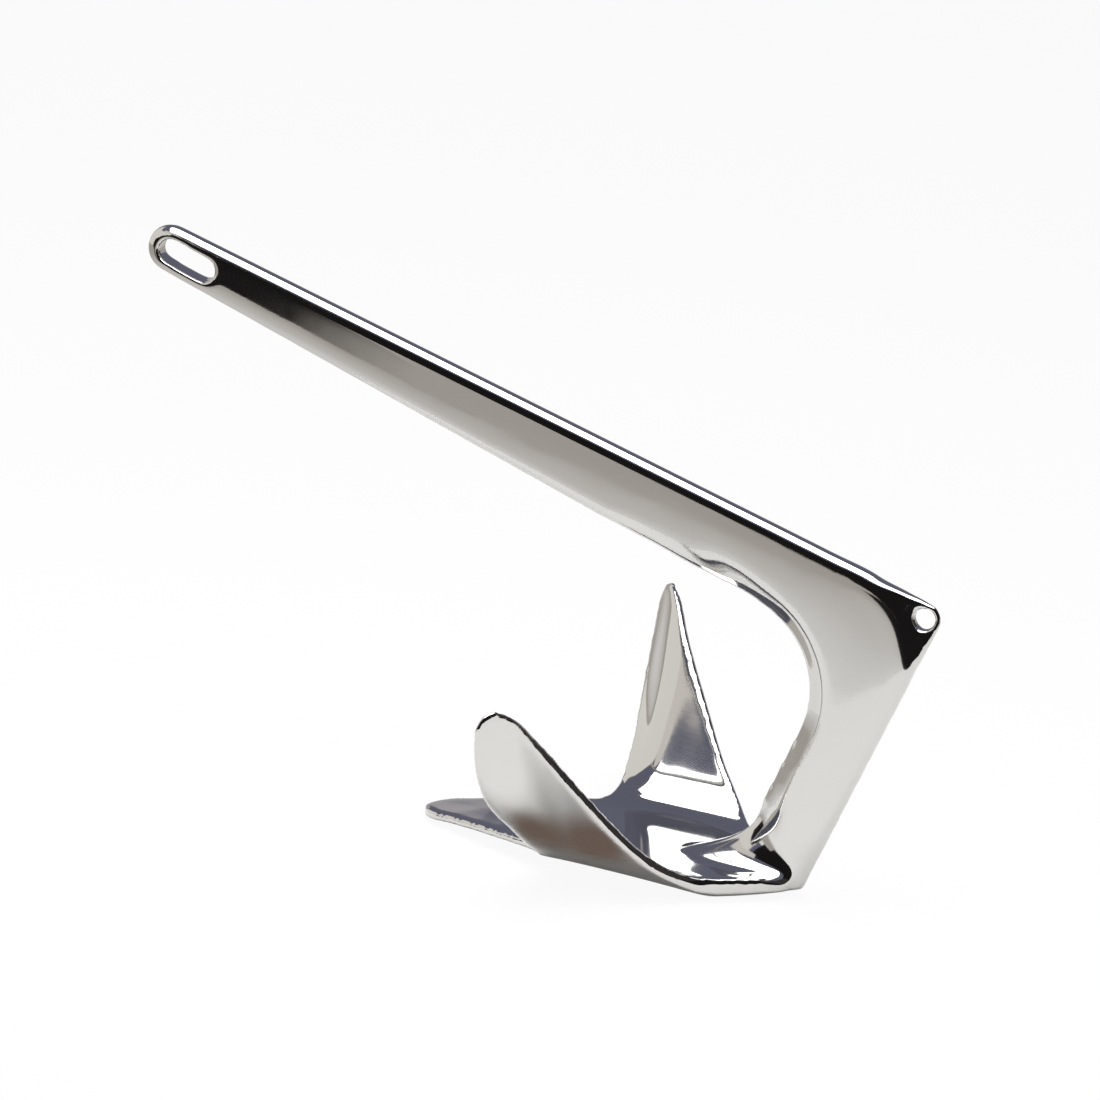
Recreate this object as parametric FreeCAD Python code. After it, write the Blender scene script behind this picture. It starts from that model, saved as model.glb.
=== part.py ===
import FreeCAD, Part
import os
from math import acos, atan, atan2, cos, degrees, hypot, pi, radians, sin, sqrt, tan

# One-piece cast claw anchor, polished stainless steel.
# +X points ahead, to the shackle end and the toe. +Y is to port and +Z is up. Millimetres.
# The model stands as the real one rests: on the flat under its crown and on the tip of its toe.

# shank: the long tapered bar from the elbow to the shackle slot
shank_length = 449.0          # from the throat to the centre of the rounded end
shank_rise = 17.3             # degrees, its lower edge above the ground
shank_root_depth = 54.5       # depth at the throat
shank_end_depth = 32.0        # depth at the rounded end
shank_thickness = 18.0
nose_radius = 8.4             # rounding of the shank's and the arm's edges
slot_length = 41.0
slot_width = 16.0
slot_end_wall = 9.5           # metal left beyond the slot

# elbow: the bend between shank and arm, with a thin corner that takes the tripping line
throat_radius = 60.0          # inside of the bend
elbow_radius = 53.0           # outside of the thick part of the bend
trip_hole_below = 12.6        # its centre, below the line of the shank's upper edge
trip_hole_inside = 11.1       # its centre, ahead of the line of the arm's rear edge
trip_hole_diameter = 14.0
trip_hole_wall = 4.6
corner_thickness = 8.5        # at the trip hole; it tapers outwards from the elbow's edge
corner_crease = 3.2           # from the elbow's outline in to where the thin corner starts

# arm: from the elbow down to the crown
arm_foot_ahead = 0.2          # where its front edge would meet the floor, ahead of the crown's middle
throat_height = 171.0         # where the shank's lower edge and the arm's front edge would meet
arm_lean = 19.65              # degrees from upright
arm_depth = 51.0
arm_thickness = 19.0
heel_radius = 9.0

# bow: the ground V along the inside of the bend and the front of the arm
bow_depth = 13.0
bow_edge = 0.9                # half-width left at the front of the V
bow_foot_edge = 5.0           # and at its foot, where it widens into the flare of the arm
bow_runout = 54.0             # where the V fades out, ahead of the throat
bow_runout_depth = 20.0
bow_full = 19.0               # where the V is complete, ahead of the throat
bow_foot_height = 29.0        # where it stops, above the ground
bow_foot_depth = 24.0
bow_foot_rise = 12.0          # degrees, how its lower edge rises to the rear

# claw: the three-toed scoop
palm_thickness = 8.5
floor_height = 16.5           # upper face of the scoop's floor
floor_half_width = 46.0
bilge_radius = 52.0           # how the floor turns up into the palms, at the back
bilge_growth = 84.0           # how much that radius grows towards the palms' front edge
palm_slope = 56.0             # degrees, the palms' lean at the back
palm_slope_growth = 24.0
flare_start = 85.0            # the palms flare outwards between these, ahead of the crown's middle
flare_end = 134.0
palm_front = 114.0            # the palms' front edge where it leaves the floor
palm_front_lean = 13.5        # how far the front edge leans ahead higher up
palm_front_dip = 6.0          # how far it first dips behind its foot
palm_tip_ahead = 118.5        # rear end of the palm's rounded tip
palm_tip_height = 142.5
palm_tip_side = 162.0
palm_tip_fall = 6.0           # how much lower the tip's front end is
palm_tip_crest = 1.5
trailing_width = 62.0         # half-width of the floor abreast of the crown's middle
heel_half_width = 13.0        # half-width of the floor at its rear end
toe_length = 212.0
toe_tip_height = 7.5
toe_bend = 118.0              # where the floor starts to fall to the toe
edge_thickness = 5.5          # along the toe and the palms' front edge
toe_root_half_width = 62.0
toe_shoulder_behind = 20.0
toe_shoulder_half_width = 24.0

# crown: the thick middle under the arm, and the flare where the arm meets the scoop's floor
crown_half_width = 38.0       # of the flat it stands on
crown_side = 36.0             # how far out it takes to thin down to the palms
crown_behind = 44.0           # rear end of the floor, behind the middle of the crown
heel_lift = 5.0               # how far the heel clears the ground
arch_height = 8.4             # the underside's highest point, between crown and toe
arch_ahead = 102.0
root_height = 19.5
root_spread = 17.0
root_front_spread = 35.0
root_front_height = 33.0


def V(x, y, z):
    return FreeCAD.Vector(x, y, z)


def polar(angle, length=1.0):
    """A vector in the middle plane, its angle counted up from ahead, in degrees."""
    return V(length * cos(radians(angle)), 0, length * sin(radians(angle)))


def arc(a, b, c):
    return Part.Arc(a, b, c).toShape()


def slab(outline, thickness):
    """A flat plate on the middle plane, from its outline's edges."""
    face = Part.Face(Part.Wire(outline))
    face.translate(V(0, -thickness / 2, 0))
    return face.extrude(V(0, thickness, 0))


def mirrored(shape):
    return shape.mirror(V(0, 0, 0), V(0, 1, 0))


def meet(p, u, q, v):
    """Where the line from p along u meets the line from q along v, both in the middle plane."""
    w = q - p
    t = (w.x * v.z - w.z * v.x) / (u.x * v.z - u.z * v.x)
    return p + u * t


def blend(a, b, share):
    return a + (b - a) * share


def spaced(lines, closed=False):
    """Parameters from 0 to 1 that follow the mean distance between neighbouring points."""
    steps = [0.0]
    count = len(lines[0])
    for i in range(1, count + 1 if closed else count):
        gaps = [(line[i % count] - line[i - 1]).Length for line in lines]
        steps.append(steps[-1] + sum(gaps) / len(gaps))
    return [step / steps[-1] for step in steps]


def skin(rows, closed=False, around=None):
    """A smooth surface through rows of points. Closed rows don't repeat their first point."""
    columns = [list(column) for column in zip(*rows)]
    around, along = around or spaced(rows, closed), spaced(columns)
    rings = []
    for row in rows:
        ring = Part.BSplineCurve()
        ring.interpolate(Points=row, PeriodicFlag=closed, Parameters=around)
        rings.append(ring)
    lines = []
    for i in range(rings[0].NbPoles):
        line = Part.BSplineCurve()
        line.interpolate(Points=[ring.getPole(i + 1) for ring in rings], Parameters=along)
        lines.append(line)
    surface = Part.BSplineSurface()
    surface.buildFromPolesMultsKnots(
        [list(poles) for poles in zip(*(line.getPoles() for line in lines))],
        lines[0].getMultiplicities(), rings[0].getMultiplicities(),
        lines[0].getKnots(), rings[0].getKnots(), False, closed, lines[0].Degree, rings[0].Degree)
    return surface


def solid_skin(stretches, corners):
    """A solid inside closed skins laid end to end, each cut into strips at its corner points; and its first end."""
    around = spaced([ring for rings in stretches for ring in rings], closed=True)
    faces, rims = [], []
    for rings in stretches:
        surface = skin(rings, True, around)
        for a, b in zip(corners, corners[1:]):
            strip = surface.copy()
            strip.segment(0, 1, around[a], around[b])
            faces.append(strip.toShape())
            rims.append([strip.uIso(u).toShape() for u in (0, 1)])
    strips = len(corners) - 1
    first = Part.Face(Part.Wire([rim[0] for rim in rims[:strips]]))
    last = Part.Face(Part.Wire([rim[1] for rim in rims[-strips:]]))
    shell = Part.Shell(faces + [first, last])
    shell.sewShape()
    return Part.Solid(shell), first


# The side view is drawn from two pairs of edges: the shank's and the arm's.
shank_fall = degrees(atan((shank_root_depth - shank_end_depth) / shank_length))
top_rise = shank_rise - shank_fall
shank_dir = polar(shank_rise)
top_dir = polar(top_rise)
arm_dir = polar(arm_lean - 90)
bend = 180 - (shank_rise + 90 - arm_lean)      # what is left of a straight line at the throat
arm_foot = V(arm_foot_ahead, 0, floor_height)
throat_corner = arm_foot + arm_dir * ((floor_height - throat_height) / cos(radians(arm_lean)))
throat_reach = throat_radius * tan(radians(bend / 2))
throat_shank = throat_corner + shank_dir * throat_reach
throat_arm = throat_corner + arm_dir * throat_reach
throat_centre = throat_shank - polar(shank_rise + 90, throat_radius)
top_start = throat_shank + polar(shank_rise + 90, shank_root_depth)
rear_dir = arm_dir
rear_start = throat_arm + polar(arm_lean + 180, arm_depth)
outer_corner = meet(top_start, top_dir, rear_start, rear_dir)
outer_angle = degrees(acos(top_dir.dot(rear_dir)))
outer_reach = elbow_radius / tan(radians(outer_angle / 2))
elbow_top = outer_corner + top_dir * outer_reach
elbow_rear = outer_corner + rear_dir * outer_reach
elbow_centre = elbow_top - polar(top_rise + 90, elbow_radius)
shank_end = throat_shank + shank_dir * shank_length + polar(shank_rise + 90, shank_end_depth / 2)
trip_hole = meet(top_start - polar(top_rise + 90, trip_hole_below), top_dir,
                 rear_start - polar(arm_lean + 180, trip_hole_inside), rear_dir)
heel_base = heel_lift + 0.8
nose_steps = 4                 # points round each edge and along each side of a section
side_steps = 6


def on_line(start, z):
    """The point at a height on the line from start down along the arm."""
    return V(start.x + (start.z - z) * tan(radians(arm_lean)), 0, z)


def outer_point(origin, direction):
    """Where a ray from the throat's side meets the outline's top, elbow or rear edge."""
    on_top = meet(origin, direction, top_start, top_dir)
    if (on_top - origin).dot(direction) > 0 and (on_top - elbow_top).dot(top_dir) >= 0:
        return on_top
    on_rear = meet(origin, direction, rear_start, rear_dir)
    if (on_rear - elbow_rear).dot(rear_dir) >= 0:
        return on_rear
    to_centre = elbow_centre - origin
    along = to_centre.dot(direction)
    across = to_centre.sub(direction * along).Length
    return origin + direction * (along + sqrt(elbow_radius ** 2 - across ** 2))


def oval(inner, outer, half_thickness):
    """Points round an oval section from its inner tip: two bull noses joined by slightly full sides."""
    out = (outer - inner).normalize()
    middle = (inner + outer) * 0.5
    reach = (outer - inner).Length / 2 - nose_radius
    side = (half_thickness ** 2 - nose_radius ** 2 + reach ** 2) / (2 * (half_thickness - nose_radius))
    turn = atan2(reach, side - half_thickness)
    half = []
    for i in range(nose_steps):
        a = blend(pi / 2, turn, i / nose_steps)
        half.append((nose_radius * cos(a), -reach - nose_radius * sin(a)))
    for i in range(side_steps + 1):
        a = blend(-turn, turn, i / side_steps)
        half.append((half_thickness - side + side * cos(a), side * sin(a)))
    for i in range(nose_steps):
        a = blend(turn, pi / 2, (i + 1) / nose_steps)
        half.append((nose_radius * cos(a), reach + nose_radius * sin(a)))
    ring = half + [(-across, along) for across, along in half[-2:0:-1]]
    return [middle + out * along + V(0, across, 0) for across, along in ring]


def bar_sections():
    """Sections of the shank, of the bend and of the arm, from the shank's rounded end down to the heel."""
    up = polar(shank_rise + 90)
    end = throat_shank + shank_dir * shank_length
    bend_steps = 10
    turned = []
    for i in range(bend_steps + 1):
        share = i / bend_steps
        ray = polar(shank_rise + 90 + bend * share)
        low = throat_centre + ray * throat_radius
        turned.append(oval(low, outer_point(low, ray), blend(shank_thickness, arm_thickness, share) / 2))
    shank = [oval(end, end + up * shank_end_depth, shank_thickness / 2), turned[0]]
    arm = [turned[-1], oval(on_line(throat_arm, heel_base), on_line(rear_start, heel_base), arm_thickness / 2)]
    return shank, turned, arm


def bar():
    """The shank, bend and arm as smooth skins, with the shank's D-shaped end turned from its last section."""
    half = 2 * nose_steps + side_steps
    corners = [0, nose_steps, nose_steps + side_steps, half, half + nose_steps, half + nose_steps + side_steps, -1]
    body, tip = solid_skin(bar_sections(), corners)
    upper = Part.makeBox(shank_end_depth, shank_end_depth, shank_end_depth)
    upper.translate(V(-shank_end_depth / 2, -shank_end_depth / 2, 0))
    upper.rotate(V(0, 0, 0), V(0, 1, 0), -shank_rise)
    upper.translate(shank_end)
    rounded_end = tip.common(upper).Faces[0].revolve(shank_end, V(0, 1, 0), 180)
    return body.fuse([rounded_end], 0.001)


def heel_corner():
    """The corner taken off where the arm's rear edge turns under."""
    corner = on_line(rear_start, heel_base)
    reach = heel_radius / tan(radians(90 + arm_lean) / 2)
    upper, lower = corner - rear_dir * reach, corner + V(reach, 0, 0)
    centre = lower + V(0, 0, heel_radius)
    middle = centre + (corner - centre).normalize() * heel_radius
    past = corner - V(heel_radius, 0, heel_radius)
    return slab([arc(upper, middle, lower), Part.makePolygon([lower, V(lower.x, 0, past.z), past,
                V(past.x, 0, upper.z), upper])], 2 * arm_thickness)


def slot():
    """The shackle slot, through the shank near its rounded end."""
    end_radius = slot_width / 2
    outer = shank_end + shank_dir * (shank_end_depth / 2 - slot_end_wall - end_radius)
    inner = outer - shank_dir * (slot_length - slot_width)
    up = polar(shank_rise + 90, end_radius)
    ahead = shank_dir * end_radius
    outline = [
        Part.makeLine(inner + up, outer + up),
        arc(outer + up, outer + ahead, outer - up),
        Part.makeLine(outer - up, inner - up),
        arc(inner - up, inner - ahead, inner + up),
    ]
    return slab(outline, shank_thickness * 2)


def tangent_point(p, centre, radius, side):
    """Where the line from p touches a circle in the middle plane, on its upper (1) or lower (-1) side."""
    away = p - centre
    base = atan2(away.z, away.x)
    turn = acos(radius / hypot(away.x, away.z))
    return centre + polar(degrees(base + side * turn), radius)


def thin_corner():
    """The elbow's outer corner: a plate that thins outwards from the round of the bend, with the trip hole."""
    radius = trip_hole_diameter / 2 + trip_hole_wall
    inside = corner_crease
    top_from = elbow_top + top_dir * elbow_radius - polar(top_rise + 90, inside)
    rear_from = elbow_rear + rear_dir * elbow_radius + polar(arm_lean, inside)
    high = tangent_point(top_from, trip_hole, radius, 1)
    low = tangent_point(rear_from, trip_hole, radius, -1)
    mid = trip_hole + (trip_hole - elbow_centre).normalize() * radius
    outline = [
        Part.makeLine(elbow_centre, top_from),
        Part.makeLine(top_from, high),
        arc(high, mid, low),
        Part.makeLine(low, rear_from),
        Part.makeLine(rear_from, elbow_centre),
    ]
    crease = elbow_radius - corner_crease
    crease_half = 0.95 * sqrt(nose_radius ** 2 - (nose_radius - corner_crease) ** 2)
    hole_at = (trip_hole - elbow_centre).Length
    taper = (crease_half - corner_thickness / 2) / (hole_at - crease)
    rim = hole_at + radius
    points = [
        elbow_centre,
        elbow_centre + V(0, crease_half - inside, 0),
        elbow_centre + V(crease - inside, crease_half - inside, 0),
        elbow_centre + V(crease, crease_half, 0),
        elbow_centre + V(rim, crease_half - taper * (rim - crease), 0),
        elbow_centre + V(rim, 0, 0),
        elbow_centre,
    ]
    lens = Part.Face(Part.makePolygon(points)).revolve(elbow_centre, V(0, 1, 0), 360)
    plate = slab(outline, shank_thickness * 2).common(lens.fuse(mirrored(lens)))
    return plate


def trip_bore():
    start = trip_hole - V(0, shank_thickness, 0)
    return Part.makeCylinder(trip_hole_diameter / 2, 2 * shank_thickness, start, V(0, 1, 0))


def front_flare(z):
    """How far the front of the arm runs ahead of its straight line, near its foot."""
    left = max(0.0, 1 - (z - floor_height) / root_front_height)
    return root_front_spread * left ** 1.7


def bow_cutter():
    """What is ground off the port side of the V, from its run-out on the shank to the foot of the arm."""
    half = shank_thickness / 2
    up = polar(shank_rise + 90)
    lines = []

    def add(front, crease, crease_side, front_side):
        """A line across the ground face, drawn on a little past the crease and past the front edge."""
        inner, tip = crease + V(0, crease_side, 0), front + V(0, front_side, 0)
        run = (tip - inner) * 0.3
        lines.append([inner - run, tip + run])

    clear = 1.04 * half
    for ahead, depth, crease_side, front_side in (
        (bow_runout + bow_full, bow_runout_depth * 1.2, clear * 1.2, clear * 1.3),
        (bow_runout, bow_runout_depth, clear, clear),
        (bow_full, blend(bow_depth, bow_runout_depth, 0.35), half, bow_edge),
    ):
        low = throat_shank + shank_dir * ahead
        add(low, low + up * depth, crease_side, front_side)
    bend_steps = 6
    for i in range(bend_steps + 1):
        share = i / bend_steps
        ray = polar(shank_rise + 90 + bend * share)
        low = throat_centre + ray * throat_radius
        add(low, low + ray * bow_depth, blend(shank_thickness, arm_thickness, share) / 2, bow_edge)
    arm_steps = 5
    for i in range(1, arm_steps + 1):
        share = i / arm_steps
        z = blend(throat_arm.z, bow_foot_height, share)
        low = on_line(throat_arm, z)
        depth = blend(bow_depth, bow_foot_depth, share ** 3)
        back = polar(180 + blend(arm_lean, -bow_foot_rise, share ** 3))
        add(low + V(front_flare(z), 0, 0), low + back * depth, arm_thickness / 2,
            blend(bow_edge, bow_foot_edge, share ** 5))
    return skin(lines).toShape().extrude(V(0, shank_thickness * 2, 0))


def floor_at(x):
    """Height of the scoop's floor along its middle."""
    past = max(0.0, x - toe_bend) / (toe_length - toe_bend)
    return floor_height - (floor_height - toe_tip_height) * past ** 1.3


def under_at(x):
    """Height of the underside along its middle: it stands on the crown and on the toe's tip."""
    if x < 0:
        return heel_lift * (x / crown_behind) ** 2
    if x < arch_ahead:
        return arch_height * sin(pi / 2 * x / arch_ahead) ** 1.3
    return arch_height * (1 - ((x - arch_ahead) / (toe_length - arch_ahead)) ** 2)


def flare_at(x):
    """0 along the back of the palms, rising smoothly to 1 just ahead of their front edge."""
    share = (x - flare_start) / (flare_end - flare_start)
    return (1 - cos(pi * min(max(share, 0.0), 1.0))) / 2


def thickness_at(x, y):
    """Thickness of the scoop: full in the middle of the crown, thinner to the palms and the toe's edge."""
    middle = floor_at(x) - under_at(x)
    edge = blend(palm_thickness, edge_thickness, flare_at(x))
    if x < palm_front:
        flat = crown_half_width * min(1.0, 1 + x / crown_behind)
        share = min(max(0.0, abs(y) - flat) / crown_side, 1.0)
        return blend(middle, edge, sin(pi / 2 * share))
    width = blend(toe_root_half_width, toe_shoulder_half_width,
                  min((x - palm_front) / (toe_length - toe_shoulder_behind - palm_front), 1.0))
    return blend(middle, edge, min(abs(y) / width, 1.0) ** 2)


def scoop_row(x, under):
    """Points across the scoop from the middle line to high on the port palm, on its upper or under side."""
    radius = bilge_radius + bilge_growth * flare_at(x)
    slope = radians(palm_slope + palm_slope_growth * flare_at(x))
    floor_steps, bilge_steps, flank_steps = 5, 6, 4
    floor = floor_at(x)
    row = [(V(x, floor_half_width * i / floor_steps, floor), 0.0) for i in range(floor_steps)]
    for i in range(bilge_steps + 1):
        turn = slope * i / bilge_steps
        q = V(x, floor_half_width + radius * sin(turn), floor + radius * (1 - cos(turn)))
        row.append((q, turn))
    start = row[-1][0]
    rise = palm_tip_height * 1.2 - start.z
    for i in range(1, flank_steps + 1):
        up = rise * i / flank_steps
        row.append((start + V(0, up / tan(slope), up), slope))
    if not under:
        return [q for q, turn in row]
    return [q + V(0, sin(turn), -cos(turn)) * thickness_at(x, q.y) for q, turn in row]


def scoop_face(under=False):
    """The scoop's upper or under side before it is cut to its outline: a trough that flares at the front."""
    step = 10.0
    behind = -crown_behind - 2 * step
    rows = []
    for i in range(int((toe_length - behind) / step) + 3):
        port = scoop_row(behind + i * step, under)
        rows.append([V(q.x, -q.y, q.z) for q in port[:0:-1]] + port)
    return skin(rows).toShape()


def slanted(x, y, z):
    """A point moved along the direction halfway between floor and palm, onto the slanted drawing plane."""
    half = (y + z) / 2
    return V(x, half, half)


def trailing_points():
    """The scoop's rear edge seen from above, from abreast of the crown's middle to the heel."""
    return [(5, trailing_width), (-21, 0.58 * trailing_width), (-37, 0.34 * trailing_width),
            (-crown_behind, heel_half_width)]


def outline_keep():
    """What the port outline keeps of the scoop: palm, floor and half the toe, drawn on the slanted plane."""
    notch = slanted(palm_front, toe_root_half_width, floor_height)
    tip_front = slanted(palm_front + palm_front_lean, palm_tip_side, palm_tip_height - palm_tip_fall)
    tip_back = slanted(palm_tip_ahead, palm_tip_side, palm_tip_height)
    tip = slanted(blend(tip_back.x, tip_front.x, 0.5), palm_tip_side + palm_tip_crest, palm_tip_height)
    front = Part.BSplineCurve()
    front.interpolate([notch] + [
        blend(V(palm_front + ahead, notch.y, notch.z), V(palm_front + ahead, tip_front.y, tip_front.z), up)
        for up, ahead in ((0.10, -palm_front_dip), (0.22, -0.6 * palm_front_dip), (0.39, 0.10 * palm_front_lean),
                          (0.56, 0.55 * palm_front_lean), (0.73, 0.86 * palm_front_lean))
    ] + [tip_front])
    trailing = [slanted(x, y, floor_height) for x, y in trailing_points()]
    foot = trailing[0]
    back = Part.BSplineCurve()
    back.interpolate([tip_back] + [
        V(blend(foot.x, tip_back.x, ahead), blend(foot.y, tip_back.y, up), blend(foot.z, tip_back.z, up))
        for up, ahead in ((0.71, 0.735), (0.42, 0.47), (0.25, 0.30), (0.16, 0.19))
    ] + trailing)
    shoulder = slanted(toe_length - toe_shoulder_behind, toe_shoulder_half_width, toe_tip_height + 1)
    toe_tip = slanted(toe_length, 0, toe_tip_height)
    toe_round = slanted(toe_length - toe_shoulder_behind * 0.25, toe_shoulder_half_width * 0.5, toe_tip_height)
    past_middle = -60.0
    toe_past = slanted(toe_length, past_middle, toe_tip_height)
    heel = slanted(-crown_behind, heel_half_width, floor_height)
    heel_past = slanted(-crown_behind, past_middle, floor_height)
    edges = [
        Part.makeLine(notch, shoulder),
        arc(shoulder, toe_round, toe_tip),
        Part.makeLine(toe_tip, toe_past),
        Part.makeLine(toe_past, heel_past),
        Part.makeLine(heel_past, heel),
        back.toShape(),
        arc(tip_back, tip, tip_front),
        front.toShape(),
    ]
    face = Part.Face(Part.Wire(Part.__sortEdges__(edges)))
    reach = 400.0
    face.translate(V(0, reach / 2, -reach / 2))
    return face.extrude(V(0, -reach, reach))


def claw():
    """The three-toed scoop: its upper face cut to outline, thickened square to it, down to the underside."""
    big = 1200.0
    port = Part.makeBox(big, big, big, V(-big / 2, 0, -big / 2))
    waste = port.cut(outline_keep())
    face = scoop_face().cut(waste.fuse(mirrored(waste))).Faces[0]
    thick = face.makeOffsetShape(-floor_height - 1, 0.01, fill=True)
    above_under = scoop_face(True).extrude(V(0, 0, big / 2))
    return thick.common(above_under)


def root():
    """The concave flare where the arm's sides and front run down to the scoop's floor."""
    sink = 0.15
    inside = 1.5
    rings = []
    steps = 9
    half = arm_thickness / 2
    for i in range(steps + 1):
        height = floor_height - sink + (root_front_height + sink) * (1 - cos(pi / 2 * i / steps))
        down = max(0.0, 1 - (height - floor_height + sink) / root_height)
        spread = root_spread * (1 - sqrt(1 - min(down, 1.0) ** 2))
        front, rear = on_line(throat_arm, height), on_line(rear_start, height) + V(nose_radius, 0, 0)
        ring = []
        for q in oval(front, rear, half):
            ahead = (q.x - rear.x) / (front.x - rear.x)
            widen = sin(pi / 2 * min(ahead / 0.6, 1.0)) ** 2
            ring.append(V(q.x - 2 * sink * ahead + front_flare(height) * ahead ** 3,
                          q.y * (half - inside + (inside - 2 * sink + spread) * widen) / half, height))
        rings.append(ring)
    return solid_skin([rings], [0, len(rings[0]) // 2, -1])[0]


def build():
    body = bar().cut(heel_corner()).fuse([thin_corner(), root()])
    port = bow_cutter()
    for cutter in (port, mirrored(port), slot(), trip_bore()):
        body = body.cut(cutter)
    anchor = body.fuse([claw()])
    box = anchor.optimalBoundingBox(False)
    anchor.translate(V(-(box.XMin + box.XMax) / 2, 0, -box.ZMin))
    return anchor


if __name__ == "__main__":
    os.makedirs("parts", exist_ok=True)
    build().exportStep("parts/claw_anchor.step")
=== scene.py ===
import math

import bpy
from mathutils import Matrix, Vector


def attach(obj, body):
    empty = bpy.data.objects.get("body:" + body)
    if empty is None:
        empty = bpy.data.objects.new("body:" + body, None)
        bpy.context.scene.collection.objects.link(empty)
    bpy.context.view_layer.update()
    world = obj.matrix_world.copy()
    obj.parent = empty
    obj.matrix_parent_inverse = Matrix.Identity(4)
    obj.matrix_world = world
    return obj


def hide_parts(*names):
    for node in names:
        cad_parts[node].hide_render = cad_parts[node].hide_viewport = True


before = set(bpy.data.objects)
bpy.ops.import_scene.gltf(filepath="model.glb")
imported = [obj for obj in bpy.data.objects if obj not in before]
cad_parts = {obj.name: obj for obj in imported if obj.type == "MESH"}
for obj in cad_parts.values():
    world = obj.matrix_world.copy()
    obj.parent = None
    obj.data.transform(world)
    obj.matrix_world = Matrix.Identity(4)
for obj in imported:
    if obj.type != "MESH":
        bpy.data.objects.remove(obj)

scene = bpy.context.scene
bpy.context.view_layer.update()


def deselectAll():
    bpy.ops.object.select_all(action="DESELECT")


def makeActive(piece):
    deselectAll()
    piece.select_set(True)
    bpy.context.view_layer.objects.active = piece


def applyModifier(piece, kind, **settings):
    makeActive(piece)
    modifier = piece.modifiers.new(kind.title(), kind)
    for name, value in settings.items():
        setattr(modifier, name, value)
    bpy.ops.object.modifier_apply(modifier=modifier.name)


def addNode(tree, kind, place, **settings):
    node = tree.nodes.new(kind)
    node.location = place
    for name, value in settings.items():
        setattr(node, name, value)
    return node


# the camera stands far off with a long lens, so there is almost no perspective
photoCamera = {
    "target": (-0.0136, -0.0009, 0.1934),   # the point at the middle of the frame
    "right": (-0.932385, -0.342020, 0.116961),
    "up": (0.208059, -0.243210, 0.947396),
    "away": 20.0,
    "frameWidth": 0.7097,                   # metres across the frame at the anchor
    "sensor": 36.0,
}


def makeCamera(values):
    right, up = Vector(values["right"]), Vector(values["up"])
    back = right.cross(up)
    data = bpy.data.cameras.new("photoCamera")
    data.sensor_width = values["sensor"]
    data.lens = values["sensor"] * values["away"] / values["frameWidth"]
    camera = bpy.data.objects.new("photoCamera", data)
    scene.collection.objects.link(camera)
    camera.location = Vector(values["target"]) + back * values["away"]
    camera.rotation_euler = Matrix((right, up, back)).transposed().to_euler()
    scene.camera = camera


makeCamera(photoCamera)
print("camera made")


# hand-polished stainless steel: a clear mirror with low waves, faint scratches and hazier patches
steelFinish = {
    "colour": (0.64, 0.632, 0.618, 1.0),
    "clearRoughness": 0.045,
    "hazyRoughness": 0.11,
    "hazeSize": 16.0,
    "hazeDetail": 5.0,
    "hazeBand": (0.4, 0.75),   # the noise values between which the steel turns hazy
    "waveSize": 22.0,
    "waveDetail": 1.0,
    "waveHeight": 0.00007,     # metres
    "scratchSize": 900.0,
    "scratchStretch": 0.03,    # scratches run along the shank
    "scratchHeight": 0.000004,
    "shankRise": math.radians(17.3),
}


def makePolishedSteel(values):
    material = bpy.data.materials.new("polishedSteel")
    material.use_nodes = True
    tree = material.node_tree
    shader = tree.nodes["Principled BSDF"]
    shader.inputs["Base Color"].default_value = values["colour"]
    shader.inputs["Metallic"].default_value = 1.0
    place = addNode(tree, "ShaderNodeTexCoord", (-1300, 0))

    haze = addNode(tree, "ShaderNodeTexNoise", (-900, 300))
    haze.inputs["Scale"].default_value = values["hazeSize"]
    haze.inputs["Detail"].default_value = values["hazeDetail"]
    roughness = addNode(tree, "ShaderNodeMapRange", (-600, 300))
    clearBelow, hazyAbove = values["hazeBand"]
    roughness.inputs["From Min"].default_value = clearBelow
    roughness.inputs["From Max"].default_value = hazyAbove
    roughness.inputs["To Min"].default_value = values["clearRoughness"]
    roughness.inputs["To Max"].default_value = values["hazyRoughness"]
    tree.links.new(place.outputs["Object"], haze.inputs["Vector"])
    tree.links.new(haze.outputs["Fac"], roughness.inputs["Value"])
    tree.links.new(roughness.outputs["Result"], shader.inputs["Roughness"])

    wave = addNode(tree, "ShaderNodeTexNoise", (-900, -50))
    wave.inputs["Scale"].default_value = values["waveSize"]
    wave.inputs["Detail"].default_value = values["waveDetail"]
    waveBump = addNode(tree, "ShaderNodeBump", (-500, -50))
    waveBump.inputs["Distance"].default_value = values["waveHeight"]
    tree.links.new(place.outputs["Object"], wave.inputs["Vector"])
    tree.links.new(wave.outputs["Fac"], waveBump.inputs["Height"])

    along = addNode(tree, "ShaderNodeMapping", (-1100, -400))
    along.inputs["Rotation"].default_value[1] = values["shankRise"]
    along.inputs["Scale"].default_value[0] = values["scratchStretch"]
    scratch = addNode(tree, "ShaderNodeTexNoise", (-900, -400))
    scratch.inputs["Scale"].default_value = values["scratchSize"]
    scratchBump = addNode(tree, "ShaderNodeBump", (-250, -200))
    scratchBump.inputs["Distance"].default_value = values["scratchHeight"]
    tree.links.new(place.outputs["Object"], along.inputs["Vector"])
    tree.links.new(along.outputs["Vector"], scratch.inputs["Vector"])
    tree.links.new(scratch.outputs["Fac"], scratchBump.inputs["Height"])
    tree.links.new(waveBump.outputs["Normal"], scratchBump.inputs["Normal"])
    tree.links.new(scratchBump.outputs["Normal"], shader.inputs["Normal"])
    return material


steel = makePolishedSteel(steelFinish)
print("finish made")


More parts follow.
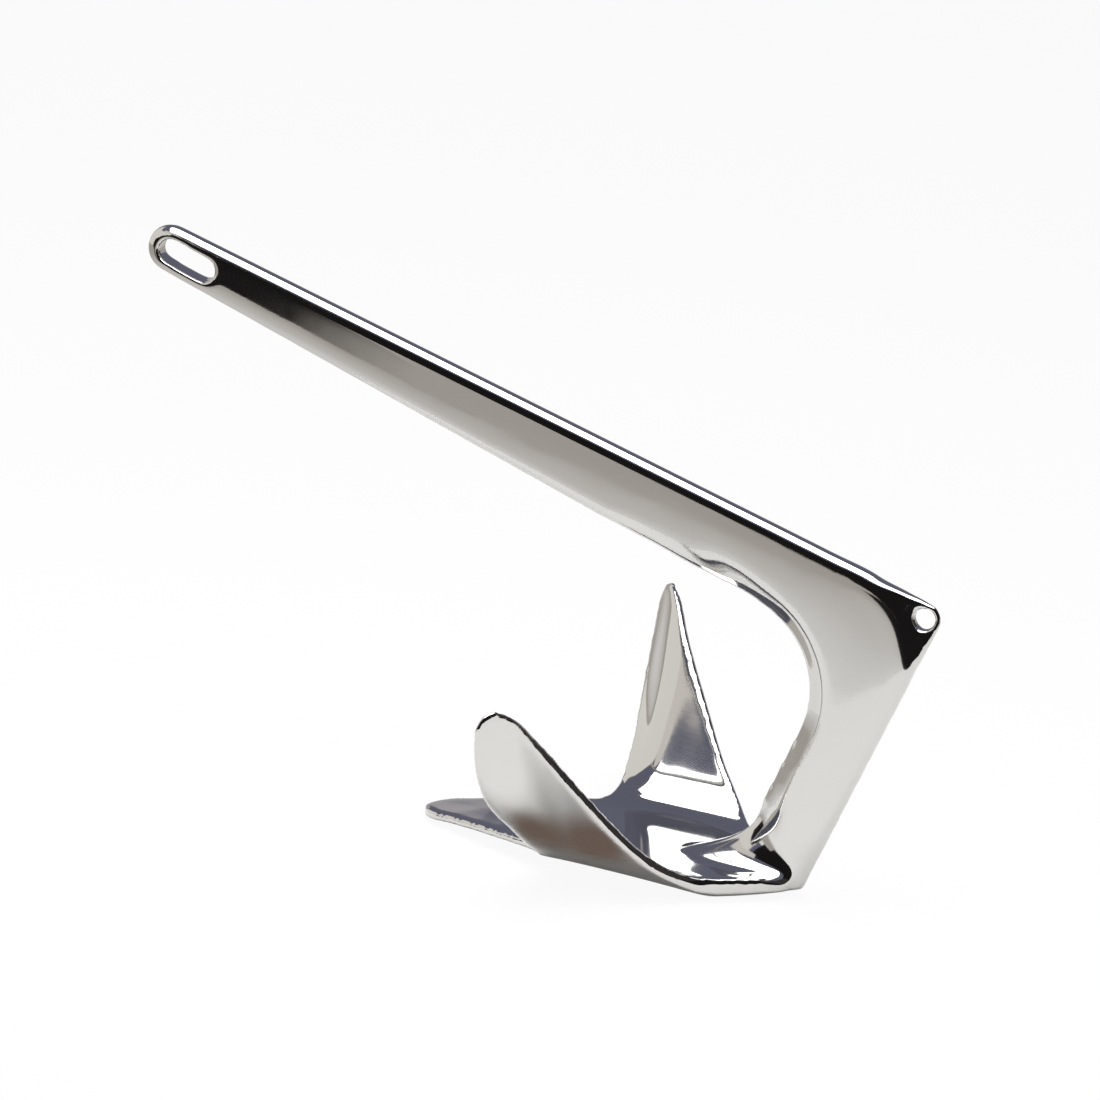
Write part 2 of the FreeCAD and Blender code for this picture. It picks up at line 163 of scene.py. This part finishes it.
# the casting's own skin, its edges rounded as polishing leaves them
anchorSkin = {
    "mergeWithin": 0.00001,
    "voxel": 0.00158,
    "topRise": math.radians(14.43),   # the voxels lie along the shank's top, which keeps its edges even
    "smoothSteps": 28,
    "smoothAmount": 0.5,
    "softRim": 0.5,                   # the outer share of a local smoothing, over which it fades
    "footSteps": 260,                 # more rounding where the arm runs down into the scoop
    "footMiddle": (-0.179, 0.0, 0.030),
    "footReach": (0.042, 0.034, 0.030),
    "runoutSteps": 105,               # and where the bow's ground faces fade out on the shank
    "runoutMiddle": (-0.112, 0.0, 0.209),
    "runoutReach": (0.075, 0.035, 0.040),
    "palmTurn": 0.003,                # the palms turn up from the floor in a wide curve
    "palmFoot": 0.030,
    "palmTurnTop": 0.085,
    "palmInside": (0.045, 0.070),
}


def copyCadNode(name, values):
    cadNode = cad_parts[name]
    piece = cadNode.copy()
    piece.data = cadNode.data.copy()
    for key in list(piece.keys()):
        del piece[key]
    piece.parent = None
    scene.collection.objects.link(piece)
    makeActive(piece)
    bpy.ops.object.mode_set(mode="EDIT")
    bpy.ops.mesh.select_all(action="SELECT")
    bpy.ops.mesh.remove_doubles(threshold=values["mergeWithin"])
    bpy.ops.object.mode_set(mode="OBJECT")
    return piece


def roundEdges(piece, values):
    shankLevel = Matrix.Rotation(values["topRise"], 4, "Y")
    piece.data.transform(shankLevel)
    applyModifier(piece, "REMESH", mode="VOXEL", voxel_size=values["voxel"])
    applyModifier(piece, "SMOOTH", factor=values["smoothAmount"], iterations=values["smoothSteps"])
    piece.data.transform(shankLevel.inverted())


# smooths the skin in one place, fading out towards its rim
def smoothNear(piece, values, place):
    middle, reach = values[place + "Middle"], values[place + "Reach"]
    group = piece.vertex_groups.new(name=place)
    for vertex in piece.data.vertices:
        away = math.sqrt(sum(((vertex.co[i] - middle[i]) / reach[i]) ** 2 for i in range(3)))
        if away < 1.0:
            group.add([vertex.index], min(1.0, (1.0 - away) / values["softRim"]), "REPLACE")
    applyModifier(piece, "SMOOTH", factor=values["smoothAmount"], iterations=values[place + "Steps"],
                  vertex_group=place)
    piece.vertex_groups.clear()


def turnPalms(piece, values):
    foot, top = values["palmFoot"], values["palmTurnTop"]
    inner, outer = values["palmInside"]
    for vertex in piece.data.vertices:
        side = abs(vertex.co.y)
        if side > inner and vertex.co.z < top:
            down = min((top - vertex.co.z) / (top - foot), 1.0)
            share = min((side - inner) / (outer - inner), 1.0)
            vertex.co.y -= math.copysign(values["palmTurn"] * down ** 2 * share, vertex.co.y)


def makeAnchor(values):
    anchor = copyCadNode("claw_anchor", values)
    anchor.name = "anchorCasting"
    roundEdges(anchor, values)
    smoothNear(anchor, values, "foot")
    smoothNear(anchor, values, "runout")
    turnPalms(anchor, values)
    bpy.ops.object.shade_smooth()
    anchor.data.materials.clear()
    anchor.data.materials.append(steel)
    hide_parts("claw_anchor")
    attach(anchor, "root")
    print("anchor made,", len(anchor.data.polygons), "faces")


makeAnchor(anchorSkin)


# the studio: a white table under one big softbox, with reflectors, dark cards and a dim room
# that only the steel mirrors
black = (0.012, 0.011, 0.011, 1.0)
softBlack = (0.05, 0.045, 0.045, 1.0)
paintedShadowBrown = (0.20, 0.15, 0.125, 1.0)
dimBlue = (0.15, 0.155, 0.21, 1.0)
dimGrey = (0.46, 0.44, 0.46, 1.0)
beige = (0.50, 0.47, 0.435, 1.0)
midBeige = (0.80, 0.76, 0.71, 1.0)
paleBeige = (0.92, 0.89, 0.85, 1.0)
white = (1.0, 1.0, 1.0, 1.0)
roomAway = 3.0              # metres from the middle to the room's walls
roomTop = 3.3


def hideCard(card):
    card.visible_camera = False
    card.visible_diffuse = False
    card.visible_shadow = False


def makeGlow(name, colour):
    material = bpy.data.materials.new(name)
    material.use_nodes = True
    tree = material.node_tree
    tree.nodes.remove(tree.nodes["Principled BSDF"])
    glow = addNode(tree, "ShaderNodeEmission", (0, 0))
    glow.inputs["Color"].default_value = colour
    tree.links.new(glow.outputs["Emission"], tree.nodes["Material Output"].inputs["Surface"])
    return material


# colours the glow by a value that runs from start to end; the first and last tones are the ends
def rampGlow(tree, value, start, end, tones):
    share = addNode(tree, "ShaderNodeMapRange", (-500, 0))
    share.inputs["From Min"].default_value = start
    share.inputs["From Max"].default_value = end
    ramp = addNode(tree, "ShaderNodeValToRGB", (-300, 0))
    stops = ramp.color_ramp.elements
    stops[0].color, stops[1].color = tones[0][1], tones[-1][1]
    for position, colour in tones[1:-1]:
        stops.new(position).color = colour
    tree.links.new(value, share.inputs["Value"])
    tree.links.new(share.outputs["Result"], ramp.inputs["Fac"])
    tree.links.new(ramp.outputs["Color"], tree.nodes["Emission"].inputs["Color"])


def addDistance(tree):
    place = addNode(tree, "ShaderNodeTexCoord", (-900, 0))
    away = addNode(tree, "ShaderNodeVectorMath", (-700, 0), operation="LENGTH")
    tree.links.new(place.outputs["Object"], away.inputs[0])
    return away.outputs["Value"]


def makeFlatCard(name, colour, points):
    mesh = bpy.data.meshes.new(name)
    mesh.from_pydata(points, [], [list(range(len(points)))])
    card = bpy.data.objects.new(name, mesh)
    scene.collection.objects.link(card)
    card.data.materials.append(makeGlow(name, colour))
    hideCard(card)
    return card


whiteTable = {
    "size": 80.0,
    "colour": (0.93, 0.925, 0.915, 1.0),
    "roughness": 0.9,
    "whiteSeen": 0.93,          # how much of its white the camera sees without light and shade
    "whiteMirrored": 0.06,      # and how much the steel mirrors
}


def makeTable(values):
    deselectAll()
    bpy.ops.mesh.primitive_plane_add(size=values["size"])
    table = bpy.context.object
    table.name = "whiteTable"
    material = bpy.data.materials.new("whiteTable")
    material.use_nodes = True
    tree = material.node_tree
    shader = tree.nodes["Principled BSDF"]
    shader.inputs["Base Color"].default_value = values["colour"]
    shader.inputs["Roughness"].default_value = values["roughness"]
    shader.inputs["Specular IOR Level"].default_value = 0.0
    glow = addNode(tree, "ShaderNodeEmission", (0, -300))
    rays = addNode(tree, "ShaderNodeLightPath", (-800, 300))
    mirrored = addNode(tree, "ShaderNodeMath", (-600, 300), operation="MAXIMUM")
    mirroredShare = addNode(tree, "ShaderNodeMath", (-400, 300), operation="MULTIPLY")
    mirroredShare.inputs[1].default_value = values["whiteMirrored"]
    seenShare = addNode(tree, "ShaderNodeMath", (-400, 100), operation="MULTIPLY")
    seenShare.inputs[1].default_value = values["whiteSeen"]
    share = addNode(tree, "ShaderNodeMath", (-200, 200), operation="MAXIMUM")
    mix = addNode(tree, "ShaderNodeMixShader", (200, 0))
    tree.links.new(rays.outputs["Is Glossy Ray"], mirrored.inputs[0])
    tree.links.new(rays.outputs["Is Transmission Ray"], mirrored.inputs[1])
    tree.links.new(mirrored.outputs["Value"], mirroredShare.inputs[0])
    tree.links.new(rays.outputs["Is Camera Ray"], seenShare.inputs[0])
    tree.links.new(mirroredShare.outputs["Value"], share.inputs[0])
    tree.links.new(seenShare.outputs["Value"], share.inputs[1])
    tree.links.new(share.outputs["Value"], mix.inputs["Fac"])
    tree.links.new(shader.outputs["BSDF"], mix.inputs[1])
    tree.links.new(glow.outputs["Emission"], mix.inputs[2])
    tree.links.new(mix.outputs["Shader"], tree.nodes["Material Output"].inputs["Surface"])
    table.data.materials.append(material)


whiteRoom = {"light": 0.2}      # its strength as a light; seen or mirrored it is 1, which is white


def makeWorld(values):
    world = bpy.data.worlds.new("whiteRoom")
    scene.world = world
    world.use_nodes = True
    tree = world.node_tree
    background = tree.nodes["Background"]
    background.inputs["Color"].default_value = white
    rays = addNode(tree, "ShaderNodeLightPath", (-800, 0))
    mirrored = addNode(tree, "ShaderNodeMath", (-600, 0), operation="MAXIMUM")
    seen = addNode(tree, "ShaderNodeMath", (-400, 0), operation="MAXIMUM")
    strength = addNode(tree, "ShaderNodeMapRange", (-200, 0))
    strength.inputs["To Min"].default_value = values["light"]
    tree.links.new(rays.outputs["Is Glossy Ray"], mirrored.inputs[0])
    tree.links.new(rays.outputs["Is Transmission Ray"], mirrored.inputs[1])
    tree.links.new(mirrored.outputs["Value"], seen.inputs[0])
    tree.links.new(rays.outputs["Is Camera Ray"], seen.inputs[1])
    tree.links.new(seen.outputs["Value"], strength.inputs["Value"])
    tree.links.new(strength.outputs["Result"], background.inputs["Strength"])


softboxLight = {
    "place": (-0.07, 0.14, 1.5),
    "size": (1.64, 1.28),
    "power": 29.0,
}


def makeSoftbox(values):
    data = bpy.data.lights.new("softbox", "AREA")
    data.shape = "RECTANGLE"
    data.size, data.size_y = values["size"]
    data.energy = values["power"]
    softbox = bpy.data.objects.new("softbox", data)
    softbox.location = values["place"]
    scene.collection.objects.link(softbox)


# how the table's light falls off away from the softbox, as the steel mirrors it
tableShade = {
    "middle": (-0.162, 0.0, 0.003),
    "rings": (0.45, 3.2),
    "fadeEnd": 1.2,
    "corners": 64,
    "tones": (
        (0.0, (0.90, 0.90, 0.89, 1.0)),
        (0.25, (0.72, 0.70, 0.68, 1.0)),
        (0.52, (0.62, 0.59, 0.56, 1.0)),
        (0.68, (0.52, 0.49, 0.455, 1.0)),
        (1.0, beige),
    ),
}


def makeTableShade(values):
    inner, outer = values["rings"]
    deselectAll()
    bpy.ops.mesh.primitive_circle_add(vertices=values["corners"], radius=inner)
    shade = bpy.context.object
    shade.name = "tableShade"
    bpy.ops.object.mode_set(mode="EDIT")
    bpy.ops.mesh.select_all(action="SELECT")
    bpy.ops.mesh.extrude_edges_move()
    bpy.ops.transform.resize(value=(outer / inner, outer / inner, 1.0))
    bpy.ops.object.mode_set(mode="OBJECT")
    shade.location = values["middle"]
    material = makeGlow("tableShade", beige)
    tree = material.node_tree
    rampGlow(tree, addDistance(tree), inner, values["fadeEnd"], values["tones"])
    shade.data.materials.append(material)
    hideCard(shade)


# a dark card that stands on the table's near right side, its left edge soft and slanted
darkCard = {
    "near": 0.78,
    "bottomLeft": 0.30,
    "topLeft": 0.34,
    "right": 1.7,
    "heights": (0.30, 0.40, 0.52),
    "slant": 0.4,
    "softEdge": (0.36, 0.48),
    "tones": (
        (0.0, beige),
        (0.375, (0.36, 0.34, 0.315, 1.0)),
        (0.64, (0.20, 0.185, 0.17, 1.0)),
        (0.79, (0.06, 0.055, 0.05, 1.0)),
        (1.0, black),
    ),
}


def makeDarkCard(values):
    bottomLeft, topLeft, right = values["bottomLeft"], values["topLeft"], values["right"]
    shoulder, neck, top = values["heights"]
    outline = ((bottomLeft, 0.0), (bottomLeft, shoulder), (topLeft, neck),
               (topLeft, top), (right, top), (right, 0.0))
    card = makeFlatCard("darkCard", black, [(x, values["near"], z) for x, z in outline])
    tree = card.data.materials[0].node_tree
    place = addNode(tree, "ShaderNodeTexCoord", (-900, 0))
    slant = addNode(tree, "ShaderNodeVectorMath", (-700, 0), operation="DOT_PRODUCT")
    slant.inputs[1].default_value = (1.0, 0.0, values["slant"])
    tree.links.new(place.outputs["Object"], slant.inputs[0])
    start, end = values["softEdge"]
    rampGlow(tree, slant.outputs["Value"], start, end, values["tones"])


dimCeiling = {"size": 12.0, "height": roomTop, "colour": dimBlue}


def makeCeiling(values):
    deselectAll()
    bpy.ops.mesh.primitive_plane_add(size=values["size"], location=(0.0, 0.0, values["height"]))
    ceiling = bpy.context.object
    ceiling.name = "dimCeiling"
    ceiling.data.materials.append(makeGlow("dimCeiling", values["colour"]))
    hideCard(ceiling)


# upright curved cards round the table: bearings in degrees from -Y towards +X, then heights
# and the distance from the middle in metres
wallSteps = 24
walls = (
    {"name": "darkRoom", "colour": black, "bearings": (158, 171),
     "heights": (0.42, roomTop), "away": roomAway},
    {"name": "tableEnd", "colour": beige, "bearings": (120, 171),
     "heights": (0.0, 0.42), "away": roomAway},
    {"name": "darkSide", "colour": black, "bearings": (171, 262),
     "heights": (0.0, roomTop), "away": roomAway},
    {"name": "sideReflector", "colour": paleBeige, "bearings": (52, 153),
     "heights": (0.0, 1.65), "away": 1.85},
    {"name": "tallReflector", "colour": midBeige, "bearings": (112, 166),
     "heights": (1.55, 2.41), "away": 1.9},
    {"name": "dimSide", "colour": dimBlue, "bearings": (-34, 158),
     "heights": (0.75, roomTop), "away": roomAway},
    {"name": "backdrop", "colour": dimGrey, "bearings": (-34, 51),
     "heights": (0.0, 0.75), "away": roomAway},
    {"name": "darkCorner", "colour": softBlack, "bearings": (-98, -34),
     "heights": (0.0, roomTop), "away": roomAway},
)


def makeWall(values):
    start, end = values["bearings"]
    low, high = values["heights"]
    middle, half = math.radians((start + end) / 2), math.radians((end - start) / 2)
    deselectAll()
    bpy.ops.mesh.primitive_grid_add(x_subdivisions=wallSteps, y_subdivisions=1, size=2.0)
    wall = bpy.context.object
    wall.name = values["name"]
    for vertex in wall.data.vertices:
        bearing = middle + half * vertex.co.x
        height = low + (high - low) * (vertex.co.y + 1.0) / 2.0
        vertex.co = (values["away"] * math.sin(bearing), -values["away"] * math.cos(bearing), height)
    wall.data.materials.append(makeGlow(values["name"], values["colour"]))
    hideCard(wall)


# the white paper on the table ends on the near left side, and the table beyond it is black
paperEnd = {
    "corners": ((-0.58, 0.12), (-0.16, 0.73), (0.09, 1.35), (0.09, 2.9), (-2.9, 2.9), (-2.9, 0.12)),
    "height": 0.004,
}


def makePaperEnd(values):
    makeFlatCard("paperEnd", black, [(x, y, values["height"]) for x, y in values["corners"]])


# a brown painted shadow of the anchor on the table, seen only in the steel's reflection where the near
# palm mirrors it, fading out to its rim
paintedShadowPatch = {
    "middle": (-0.088, 0.094, 0.002),
    "halfSize": (0.042, 0.030),
    "fadeFrom": 0.25,
    "corners": 48,
}


def makePaintedShadowPatch(values):
    width, depth = values["halfSize"]
    deselectAll()
    bpy.ops.mesh.primitive_circle_add(vertices=values["corners"], radius=1.0, fill_type="NGON")
    patch = bpy.context.object
    patch.name = "paintedShadowUnderPalm"
    patch.location = values["middle"]
    patch.scale = (width, depth, 1.0)
    # painted shadow: a brown glow under the anchor that stands in for its shadow on the table, and only
    # the steel mirrors it
    material = makeGlow("paintedShadowUnderPalm", paintedShadowBrown)
    tree = material.node_tree
    share = addNode(tree, "ShaderNodeMapRange", (-500, 0), interpolation_type="SMOOTHSTEP")
    share.inputs["From Min"].default_value = values["fadeFrom"]
    clear = addNode(tree, "ShaderNodeBsdfTransparent", (0, -200))
    mix = addNode(tree, "ShaderNodeMixShader", (200, 0))
    tree.links.new(addDistance(tree), share.inputs["Value"])
    tree.links.new(share.outputs["Result"], mix.inputs["Fac"])
    tree.links.new(tree.nodes["Emission"].outputs["Emission"], mix.inputs[1])
    tree.links.new(clear.outputs["BSDF"], mix.inputs[2])
    tree.links.new(mix.outputs["Shader"], tree.nodes["Material Output"].inputs["Surface"])
    patch.data.materials.append(material)
    hideCard(patch)


makeTable(whiteTable)
makeWorld(whiteRoom)
makeSoftbox(softboxLight)
makeTableShade(tableShade)
makeDarkCard(darkCard)
makeCeiling(dimCeiling)
for wall in walls:
    makeWall(wall)
makePaperEnd(paperEnd)
makePaintedShadowPatch(paintedShadowPatch)
print("studio made")

scene.view_settings.view_transform = "Standard"
